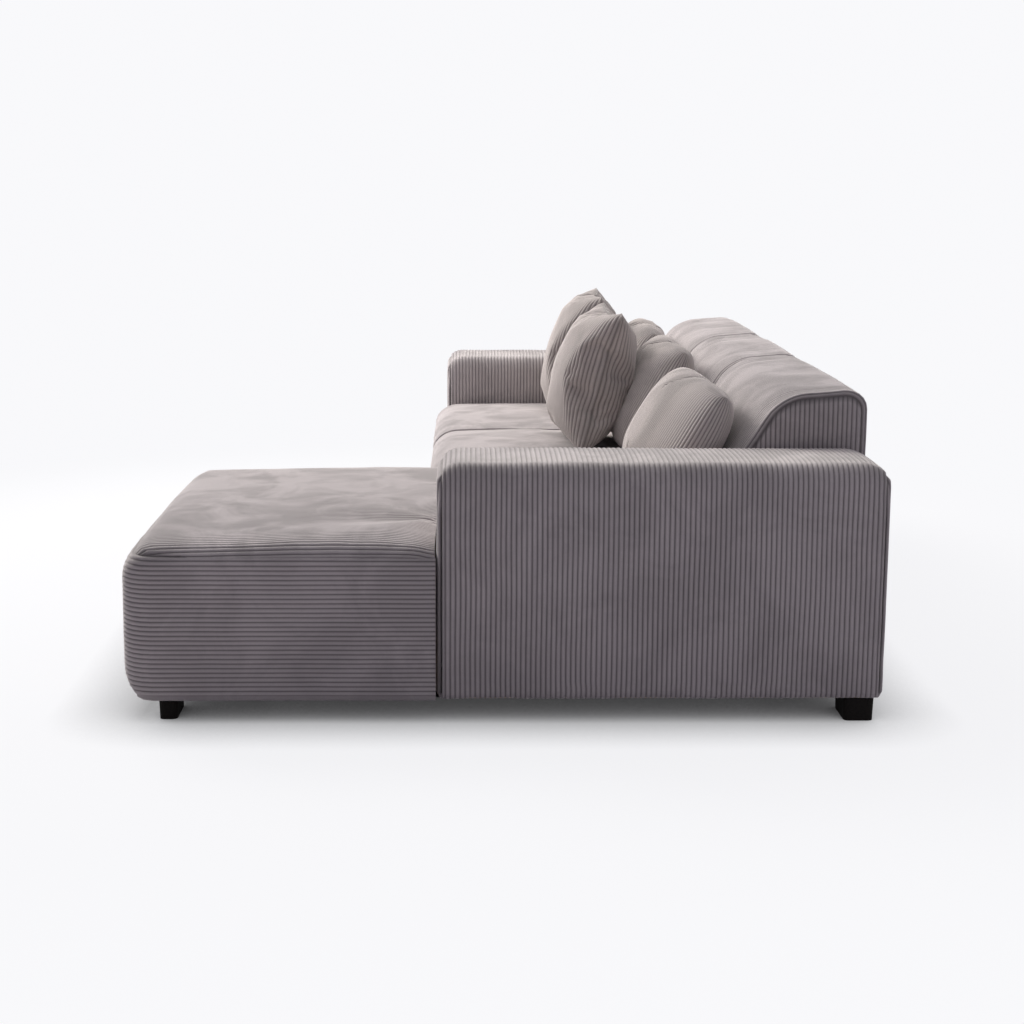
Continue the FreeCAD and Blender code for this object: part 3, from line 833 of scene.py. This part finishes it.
def flat_form(width, height, thickness):
    """Two panels sewn along their edges, slightly parted in the middle."""
    columns = round(width / cushion_cell) + 1
    rows = round(height / cushion_cell) + 1
    grid_x, grid_z = np.meshgrid(np.linspace(-0.5, 0.5, columns), np.linspace(-0.5, 0.5, rows), indexing="ij")
    part = np.sqrt((1 - 4 * grid_x ** 2) * (1 - 4 * grid_z ** 2)) * thickness / 2
    shown_x = grid_x * np.sqrt(1 - 2 * pillow_corner * grid_z ** 2) * width
    shown_z = grid_z * np.sqrt(1 - 2 * pillow_corner * grid_x ** 2) * height
    return np.stack([np.stack([shown_x, way * part, shown_z], -1) for way in (-1, 1)])


def sewn_mesh(name, sides):
    """One closed mesh of two grids that share their edges; returns where each point went."""
    count, columns, rows = sides.shape[:3]
    numbers = np.zeros((count, columns, rows), int)
    vertices = []
    for side, i, j in np.ndindex(count, columns, rows):
        if side and (i in (0, columns - 1) or j in (0, rows - 1)):
            numbers[side, i, j] = numbers[0, i, j]
            continue
        numbers[side, i, j] = len(vertices)
        vertices.append(sides[side, i, j].tolist())
    quads = np.stack([numbers[:, :-1, :-1], numbers[:, 1:, :-1], numbers[:, 1:, 1:], numbers[:, :-1, 1:]], -1)
    faces = np.concatenate([quads[0].reshape(-1, 4), quads[1].reshape(-1, 4)[:, ::-1]])
    mesh = bpy.data.meshes.new(name)
    mesh.from_pydata(vertices, [], faces.tolist())
    return mesh, numbers


def inflate(name, sides, slack):
    """Fill a sewn cover by cloth simulation; returns both sides as grids of points."""
    mesh, numbers = sewn_mesh(name, sides)
    trial = placed(name, mesh)
    cloth = trial.modifiers.new("cloth", "CLOTH")
    for key, value in filling.items():
        setattr(cloth.settings, key, value)
    cloth.settings.shrink_min = -slack
    cloth.settings.effector_weights.gravity = 0
    cloth.collision_settings.use_collision = False
    cloth.point_cache.frame_start = 1
    cloth.point_cache.frame_end = filling_frames
    for number in range(1, filling_frames + 1):
        bpy.context.scene.frame_set(number)
    moved = trial.evaluated_get(bpy.context.evaluated_depsgraph_get()).data
    points = np.array([vertex.co for vertex in moved.vertices])
    bpy.data.objects.remove(trial)
    bpy.data.meshes.remove(mesh)
    bpy.context.scene.frame_set(1)
    return points[numbers]


def fitted(sides, sizes):
    """Sides scaled and centred to fill a box of these sizes."""
    flat = sides.reshape(-1, 3)
    low, high = flat.min(0), flat.max(0)
    return (sides - (low + high) / 2) * (np.array(sizes) / (high - low))


def cushion_sides(name, width, height, thickness):
    sizes = (width, thickness, height)
    if name.endswith("pillow"):
        return fitted(inflate(name, flat_form(width, height, thickness * pillow_start), 0), sizes)
    start = plump_form(width, height, thickness)
    moves = inflate(name, start, cushion_slack) - start
    lengths = np.linalg.norm(moves, axis=-1, keepdims=True)
    return fitted(start + moves * np.minimum(1, cushion_cap / np.maximum(lengths, 1e-9)), sizes)


def curve_weights(count, places):
    """Weights that carry points of an even row to places along it, smoothly."""
    spots = np.clip(places, 0, 1) * (count - 1)
    low = np.clip(np.floor(spots).astype(int), 0, count - 2)
    part = spots - low
    weights = np.zeros((len(places), count))
    terms = {
        -1: -0.5 * part + part ** 2 - 0.5 * part ** 3,
        0: 1 - 2.5 * part ** 2 + 1.5 * part ** 3,
        1: 0.5 * part + 2 * part ** 2 - 1.5 * part ** 3,
        2: -0.5 * part ** 2 + 0.5 * part ** 3,
    }
    for shift, term in terms.items():
        np.add.at(weights, (np.arange(len(places)), np.clip(low + shift, 0, count - 1)), term)
    return weights


def grid_normals(points):
    return unit(np.cross(np.gradient(points, axis=0), np.gradient(points, axis=1)))


def softened(field, reaches):
    """A field on a grid, smoothed along both axes over these numbers of cells."""
    for axis, reach in enumerate(reaches):
        places = np.arange(field.shape[axis])
        weights = np.exp(-0.5 * ((places[:, None] - places[None, :]) / reach) ** 2)
        weights /= weights.sum(1, keepdims=True)
        field = np.moveaxis(np.tensordot(weights, field, (1, axis)), 0, axis)
    return field


def pressed(points, shape, edge):
    """Points that lie in a neighbour's shape, moved out in one soft dent."""
    tree = BVHTree.FromObject(shape, bpy.context.evaluated_depsgraph_get())
    flat = points.reshape(-1, 3).copy()
    for index, point in enumerate(flat):
        nearest, normal = tree.find_nearest(Vector(point), dent_reach)[:2]
        if nearest is not None and (Vector(point) - nearest).dot(normal) < dent_gap:
            flat[index] = nearest + normal * dent_gap
    moves = flat.reshape(points.shape) - points
    inside = smooth(edge, 0, dent_seam)[..., None]
    return points + moves + (softened(moves, dent_spread) - moves) * inside


def cushion_relief(name, points, pile, edge):
    """Ribs, the stuffing's waves, and puckers that run in from the seam."""
    creases = crumple(points + 0.31 * len(name), (0.035, 0.2, 0.12)) * near_plane(edge, 0.05)
    waves = drift(points, (0.1, 0.1, 0.1))
    relief = cushion_rib_height * (pile - 0.5) + cushion_crease * creases + cushion_wave * waves
    return relief * smooth(edge, 0, pillow_seam) if name.endswith("pillow") else relief


def cushion_piece(name, neighbours):
    facts = cushion_facts[name]
    sides = cushion_sides(name, facts["width"], facts["height"], facts["thickness"])
    lean = Matrix.Rotation(math.radians(-facts["lean"]), 3, "X")
    turn = Matrix.Rotation(math.radians(facts["turn"]), 3, "Z")
    rotation = np.array(turn @ lean)
    low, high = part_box(name + "_cover")
    centre = np.array((low + high) / 2) + facts["moved"]
    ribs = round(lengths_along(sides[0], 0)[-1].max() / rib_pitch)
    rows = round(lengths_along(sides[0], 1)[:, -1].max() / cushion_row)
    phases = np.arange(ribs * rib_points + 1) / rib_points
    across = curve_weights(sides.shape[1], phases / ribs)
    up = curve_weights(sides.shape[2], np.linspace(0, 1, rows + 1))
    rib_cut = 1 if name.endswith("pillow") else 0
    grids = []
    for side, way in zip(sides, (1, -1)):
        points = np.einsum("ai,ijk,bj->abk", across, side, up)
        normals = grid_normals(points) * way
        edge = seam_distance(points, ((True, True), (True, True)))
        # For pillows the pile falls to zero at the seam, which then takes the full painted groove shade.
        pile = rib_shape(phases)[:, None] * (1 - rib_cut * near_plane(edge, rib_fade))
        points = points + normals * cushion_relief(name, points, pile, edge)[..., None]
        points = points @ rotation.T + centre
        for neighbour in neighbours:
            points = pressed(points, neighbour, edge)
        grids.append((points, pile, normals @ rotation.T))
    return mesh_piece(name + "_fabric", grids)


# Materials

def material(name):
    made = bpy.data.materials.new(name)
    made.use_nodes = True
    nodes = made.node_tree.nodes
    return made, nodes, made.node_tree.links, nodes["Principled BSDF"]


def set_inputs(node, values):
    for name, value in values.items():
        node.inputs[name].default_value = value


def add_node(nodes, kind, **values):
    node = nodes.new(kind)
    for key, value in values.items():
        if key in node.inputs:
            node.inputs[key].default_value = value
        else:
            setattr(node, key, value)
    return node


def ramp_between(nodes, links, source, low, high, dark, light):
    """A colour ramp from one colour to another over part of a source's range."""
    ramp = nodes.new("ShaderNodeValToRGB")
    for element, position, colour in zip(ramp.color_ramp.elements, (low, high), (dark, light)):
        element.position = position
        element.color = (*colour, 1)
    links.new(source, ramp.inputs["Fac"])
    return ramp.outputs["Color"]


def map_range(nodes, links, source, limits, **settings):
    """A source's span from the first limit to the second, carried to the third and fourth."""
    node = add_node(nodes, "ShaderNodeMapRange", **settings)
    set_inputs(node, dict(zip(("From Min", "From Max", "To Min", "To Max"), limits)))
    links.new(source, node.inputs["Value"])
    return node.outputs["Result"]


def multiplier(nodes, links, tint):
    """A node that multiplies its first colour by a tint."""
    mix = add_node(nodes, "ShaderNodeMix", data_type="RGBA", blend_type="MULTIPLY", Factor=1.0)
    links.new(tint, mix.inputs[second_colour])
    return mix


def bumped(nodes, links, shader, source, strength, distance):
    bump = add_node(nodes, "ShaderNodeBump", Strength=strength, Distance=distance)
    links.new(source, bump.inputs["Height"])
    links.new(bump.outputs["Normal"], shader.inputs["Normal"])


def corduroy(name, tone, groove_shade):
    """Corduroy: brushed patches made stronger on upward faces as painted sheen, grooves and seams darkened as
    painted shade, a fine pile and a soft sheen.
    """
    made, nodes, links, shader = material(name)
    place = nodes.new("ShaderNodeTexCoord")
    patches = add_node(nodes, "ShaderNodeTexNoise", Scale=5.0, Detail=4.0, Roughness=0.62, Distortion=0.6)
    links.new(place.outputs["Object"], patches.inputs["Vector"])
    patch = ramp_between(nodes, links, patches.outputs["Fac"], 0.40, 0.58, (0.64,) * 3, (1.10,) * 3)
    # Painted sheen: the patches are the pile's own random tone, but they are made stronger on faces that
    # point up, where a brushed pile shows most in grazing light.
    shape = nodes.new("ShaderNodeNewGeometry")
    facing = nodes.new("ShaderNodeSeparateXYZ")
    links.new(shape.outputs["Normal"], facing.inputs[0])
    level = map_range(nodes, links, facing.outputs["Z"], (0.2, 0.95, 0.30, 0.80))
    patches_with_painted_top_sheen = multiplier(nodes, links, patch)
    patches_with_painted_top_sheen.inputs[first_colour].default_value = (*tone, 1)
    links.new(level, patches_with_painted_top_sheen.inputs["Factor"])
    # Painted shade: the colour darkens from the rib crests down into the grooves, and along seams where the
    # pile fades, standing in for the shade in these hollows.
    pile = add_node(nodes, "ShaderNodeAttribute", attribute_name="pile")
    groove_shade_ramp = ramp_between(nodes, links, pile.outputs["Fac"], 0.0, 0.95, (groove_shade,) * 3, (1.0,) * 3)
    groove_shaded = multiplier(nodes, links, groove_shade_ramp)
    links.new(patches_with_painted_top_sheen.outputs[mixed_colour], groove_shaded.inputs[first_colour])
    fibre = add_node(nodes, "ShaderNodeTexNoise", Scale=900.0, Detail=2.0)
    links.new(place.outputs["Object"], fibre.inputs["Vector"])
    flecks = ramp_between(nodes, links, fibre.outputs["Fac"], 0.3, 0.7, (0.88,) * 3, (1.08,) * 3)
    flecked = multiplier(nodes, links, flecks)
    links.new(groove_shaded.outputs[mixed_colour], flecked.inputs[first_colour])
    links.new(flecked.outputs[mixed_colour], shader.inputs["Base Color"])
    bumped(nodes, links, shader, fibre.outputs["Fac"], 0.35, 0.0006)
    set_inputs(shader, {"Roughness": 0.85, "Specular IOR Level": 0.15, "Sheen Weight": 0.95,
                        "Sheen Roughness": 0.40, "Sheen Tint": (1.0, 0.96, 0.93, 1)})
    return made


def grained(name, dark, light, scale, roughness, metallic=0.0, specular=0.4, bump=0.1):
    """Wood, steel, plastic or plain cloth, from a stretched noise."""
    made, nodes, links, shader = material(name)
    place = nodes.new("ShaderNodeTexCoord")
    stretch = add_node(nodes, "ShaderNodeMapping", Scale=scale)
    noise = add_node(nodes, "ShaderNodeTexNoise", Scale=8.0, Detail=5.0, Roughness=0.6)
    links.new(place.outputs["Object"], stretch.inputs["Vector"])
    links.new(stretch.outputs["Vector"], noise.inputs["Vector"])
    colour = ramp_between(nodes, links, noise.outputs["Fac"], 0.35, 0.65, dark, light)
    links.new(colour, shader.inputs["Base Color"])
    bumped(nodes, links, shader, noise.outputs["Fac"], bump, 0.0005)
    set_inputs(shader, {"Roughness": roughness, "Metallic": metallic, "Specular IOR Level": specular})
    return made


# The last number of each corduroy is the colour in its grooves, a painted shade.
fabric = corduroy("corduroy", (0.525, 0.480, 0.480), 0.34)
# Painted light: the cushions' copy of the same corduroy has lighter grooves, to brighten their faces that lie
# in shade, and a slightly warmer tone.
cushion_fabric_painted_lighter = corduroy("cushion_corduroy", (0.54, 0.489, 0.468), 0.42)
# Dark and light colour, stretch, roughness, and where they differ metal, gloss and bump
hidden_looks = {
    "black_plastic": ((0.006, 0.005, 0.005), (0.012, 0.010, 0.009), (30, 30, 30), 0.75, 0.0, 0.1),
    "dust_cover_fabric": ((0.03,) * 3, (0.05,) * 3, (40, 40, 40), 0.95),
    "pine": ((0.62, 0.44, 0.26), (0.76, 0.58, 0.37), (1, 6, 12), 0.6),
    "plywood": ((0.55, 0.40, 0.24), (0.68, 0.52, 0.34), (2, 2, 60), 0.6),
    "zinc_steel": ((0.55,) * 3, (0.66,) * 3, (20, 20, 20), 0.4, 1.0),
    "spring_wire": ((0.30,) * 3, (0.42,) * 3, (20, 20, 20), 0.35, 1.0),
    "webbing": ((0.02,) * 3, (0.05,) * 3, (60, 200, 60), 0.9, 0.0, 0.4, 0.4),
}
block_materials = {name: grained(name, *looks) for name, looks in hidden_looks.items()}

slots = {entry["node"]: entry["material_slot"] for entry in frame["record"]["subparts"]}
for node_name, node in frame["nodes"].items():
    chosen = block_materials.get(slots[node_name])
    if chosen:
        node.data.materials.clear()
        node.data.materials.append(chosen)


# Fabric pieces on their bodies

def dress(piece, body, nodes, finish):
    """Gives a fabric piece its material and its body, and hides the solids it stands for."""
    piece.data.materials.append(finish)
    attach(piece, body)
    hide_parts(*nodes)


def dust_sheet(node, body):
    """A thin cloth stapled along its edges under a frame, sagging a little between them."""
    low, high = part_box(node)
    across = np.linspace(low.x + dust_inset, high.x - dust_inset, dust_points)
    along = np.linspace(low.y + dust_inset, high.y - dust_inset, dust_points)
    grid_x, grid_y = np.meshgrid(across, along, indexing="ij")
    share = np.linspace(0, 1, dust_points)
    hang = np.outer(np.sin(math.pi * share), np.sin(math.pi * share)) ** 0.7
    points = np.stack([grid_x, grid_y, high.z - dust_lift - dust_sag * hang], -1)
    points[..., 2] += dust_wave * crumple(points, (0.12, 0.12, 1)) * hang
    sheet = mesh_piece(node + "_sheet", [(points, np.ones(points.shape[:2]), facing_down(points))])
    sheet.data.materials.append(block_materials["dust_cover_fabric"])
    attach(sheet, body)
    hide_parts(node)


for side, body in (("left", "sofa"), ("right", "chaise")):
    dress(arm_piece(side), body, [side + "_arm_cover", side + "_arm_padding"], fabric)
for place in seat_box:
    dress(seat_piece(place), "sofa", [place + "_seat_cover", place + "_seat_foam"], fabric)
backs = {place: back_piece(place) for place in back_box}
for place in back_box:
    body = "chaise" if place == "chaise" else "sofa"
    dress(backs[place], body, [place + "_back_cover", place + "_back_foam"], fabric)
dress(chaise_piece(), "chaise", ["chaise_cover", "chaise_foam"], fabric)

cushions = {}
for name, facts in cushion_facts.items():
    place, kind = name.split("_")
    neighbours = [backs[place]] if kind == "cushion" else []
    if place + "_pillow" in cushions:
        neighbours.append(cushions[place + "_pillow"])
    cushions[name] = cushion_piece(name, neighbours)
    dress(cushions[name], name, [name + "_cover", name + "_fill"],
          cushion_fabric_painted_lighter)

dust_sheet("sofa_dust_cover", "sofa")
dust_sheet("chaise_dust_cover", "chaise")


# Camera, floor and light

def place_camera():
    forward = Vector((-math.cos(camera_pitch) * math.cos(camera_yaw),
                      math.cos(camera_pitch) * math.sin(camera_yaw),
                      -math.sin(camera_pitch)))
    level = Vector((math.sin(camera_yaw), math.cos(camera_yaw), 0))
    upright = level.cross(forward)
    right = (level * math.cos(camera_roll) + upright * math.sin(camera_roll)).normalized()
    forward.normalize()
    turned = Matrix((right, right.cross(forward), -forward)).transposed().to_4x4()
    camera = placed("camera", bpy.data.cameras.new("camera"))
    camera.data.lens = camera_lens
    camera.data.sensor_width = camera_sensor
    camera.matrix_world = Matrix.Translation(camera_place) @ turned
    bpy.context.scene.camera = camera


def seen_directly(nodes, links):
    """One for rays from the camera, and for those that metal and glass send back."""
    path = nodes.new("ShaderNodeLightPath")
    total = path.outputs["Is Camera Ray"]
    for name in ("Is Glossy Ray", "Is Transmission Ray"):
        joined = add_node(nodes, "ShaderNodeMath", operation="MAXIMUM")
        links.new(total, joined.inputs[0])
        links.new(path.outputs[name], joined.inputs[1])
        total = joined.outputs[0]
    return total


def mixed(nodes, links, share, first, second):
    """The first shader where the share is zero, and the second where it is one."""
    mix = nodes.new("ShaderNodeMixShader")
    links.new(share, mix.inputs["Fac"])
    links.new(first.outputs[0], mix.inputs[1])
    links.new(second.outputs[0], mix.inputs[2])
    return mix


def place_floor():
    """A white floor that glows with a painted contact shadow near the object, shows a little of its lit
    shadow too, and runs into the backdrop far away.
    """
    half = floor_half
    mesh = bpy.data.meshes.new("floor")
    mesh.from_pydata([(-half, -half, 0), (half, -half, 0), (half, half, 0), (-half, half, 0)], [],
                     [(0, 1, 2, 3)])
    floor = placed("floor", mesh)
    made, nodes, links, shader = material("floor")
    nodes.remove(shader)
    lit = add_node(nodes, "ShaderNodeBsdfDiffuse", Color=(1.0, 1.0, 1.0, 1))
    bounced = add_node(nodes, "ShaderNodeBsdfDiffuse", Color=(*floor_bounce, 1))
    # Painted shadow: occlusion darkens the floor's white glow under and beside the object.
    shaded = add_node(nodes, "ShaderNodeAmbientOcclusion", Color=(*backdrop_white, 1),
                      Distance=floor_shade_reach, samples=8)
    glow_with_painted_contact_shadow = add_node(nodes, "ShaderNodeEmission", Strength=1.0)
    links.new(shaded.outputs["Color"], glow_with_painted_contact_shadow.inputs["Color"])
    place = nodes.new("ShaderNodeTexCoord")
    distance = add_node(nodes, "ShaderNodeVectorMath", operation="LENGTH")
    links.new(place.outputs["Object"], distance.inputs[0])
    fade = map_range(nodes, links, distance.outputs["Value"], floor_fade, interpolation_type="SMOOTHSTEP")
    shown = mixed(nodes, links, fade, lit, glow_with_painted_contact_shadow)
    mix = mixed(nodes, links, seen_directly(nodes, links), bounced, shown)
    links.new(mix.outputs[0], nodes["Material Output"].inputs["Surface"])
    mesh.materials.append(made)


def place_lamp(name, location, target, size, power, colour):
    lamp = placed(name, bpy.data.lights.new(name, "AREA"))
    lamp.data.shape = "RECTANGLE"
    lamp.data.size, lamp.data.size_y = size
    lamp.data.energy = power
    lamp.data.color = colour
    lamp.location = location
    lamp.rotation_mode = "QUATERNION"
    lamp.rotation_quaternion = (Vector(target) - Vector(location)).to_track_quat("-Z", "Y")


def place_world():
    """A plain white backdrop, and a soft light from all round."""
    world = bpy.data.worlds.new("world")
    bpy.context.scene.world = world
    world.use_nodes = True
    nodes = world.node_tree.nodes
    links = world.node_tree.links
    ambient = nodes["Background"]
    set_inputs(ambient, {"Color": (*ambient_colour, 1), "Strength": ambient_strength})
    backdrop = add_node(nodes, "ShaderNodeBackground", Color=(*backdrop_white, 1), Strength=1.0)
    mix = mixed(nodes, links, seen_directly(nodes, links), ambient, backdrop)
    links.new(mix.outputs[0], nodes["World Output"].inputs["Surface"])


place_camera()
place_floor()
place_world()
for name, facts in lamps.items():
    place_lamp(name, *facts)
bpy.context.scene.view_settings.view_transform = "Standard"
